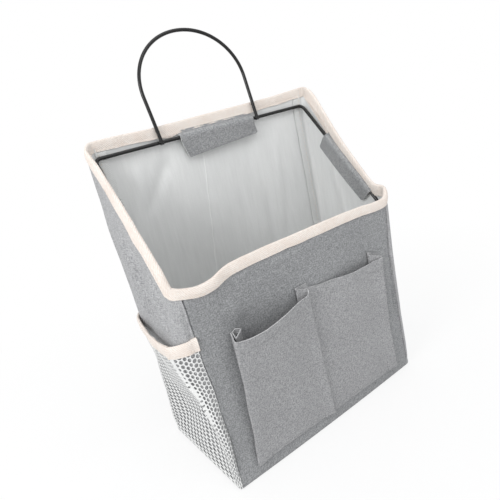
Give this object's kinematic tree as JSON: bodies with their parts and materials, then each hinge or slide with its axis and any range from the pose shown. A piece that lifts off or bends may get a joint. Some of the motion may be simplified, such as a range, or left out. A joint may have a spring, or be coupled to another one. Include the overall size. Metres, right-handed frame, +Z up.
{
  "type": "hanging storage organizer",
  "caption": "Cloth organizer with a slanted mouth, a wire frame with a hanger arch, flaps over the wire, pleated front pockets and net side pockets.",
  "frame": {"origin": "on the floor plane, under the centre of the overall bounding box", "axes": "+Z up, +Y towards the back panel and the wall, +X to the right seen from the front"},
  "size_m": [0.2284, 0.117, 0.3244],
  "materials": {
    "grey_cloth": "matt linen-look weave with a pale coated back",
    "side_cloth": "matt linen-look weave with a pale coated back",
    "cream_tape": "soft cotton twill tape",
    "black_wire": "satin black coating",
    "white_net": "knitted polyester net",
    "seam_tape": "pale coated cloth edge",
    "hook_tape": "hook tape",
    "loop_tape": "loop tape"
  },
  "bodies": {
    "bag": {"front_panel": "grey_cloth", "back_panel": "grey_cloth", "left_side_panel": "side_cloth", "right_side_panel": "side_cloth", "bottom_panel": "grey_cloth", "rim_binding": "cream_tape", "corner_seam_front_left": "seam_tape", "corner_seam_front_right": "seam_tape", "corner_seam_back_left": "seam_tape", "corner_seam_back_right": "seam_tape", "bottom_seam_front": "seam_tape", "bottom_seam_back": "seam_tape", "bottom_seam_left": "seam_tape", "bottom_seam_right": "seam_tape", "frame_wire": "black_wire", "hanger_arch": "black_wire", "back_loop_strip": "loop_tape", "front_loop_strip": "loop_tape", "right_loop_strip": "loop_tape", "left_loop_strip": "loop_tape", "front_pocket": "grey_cloth", "left_net_pocket": "white_net", "left_net_binding": "cream_tape", "right_net_pocket": "white_net", "right_net_binding": "cream_tape"},
    "back_flap": {"back_flap": "grey_cloth", "back_hook_strip": "hook_tape"},
    "front_flap": {"front_flap": "grey_cloth", "front_hook_strip": "hook_tape"},
    "left_flap": {"left_flap": "grey_cloth", "left_hook_strip": "hook_tape"},
    "right_flap": {"right_flap": "grey_cloth", "right_hook_strip": "hook_tape"}
  },
  "joints": [
    {"name": "back_flap_hinge", "type": "hinge", "parent": "bag", "child": "back_flap", "pos_m": [0.0065, 0.04314, 0.2468], "axis": [-1, 0, 0], "range_deg": [0, 110]},
    {"name": "front_flap_hinge", "type": "hinge", "parent": "bag", "child": "front_flap", "pos_m": [0, -0.04326, 0.1508], "axis": [1, 0, 0], "range_deg": [0, 110]},
    {"name": "right_flap_hinge", "type": "hinge", "parent": "bag", "child": "right_flap", "pos_m": [0.0972, -0.00744, 0.19183], "axis": [0, 0.6594, 0.7518], "range_deg": [0, 110]},
    {"name": "left_flap_hinge", "type": "hinge", "parent": "bag", "child": "left_flap", "pos_m": [-0.0972, -0.00744, 0.19183], "axis": [0, -0.6594, -0.7518], "range_deg": [0, 110]}
  ]
}
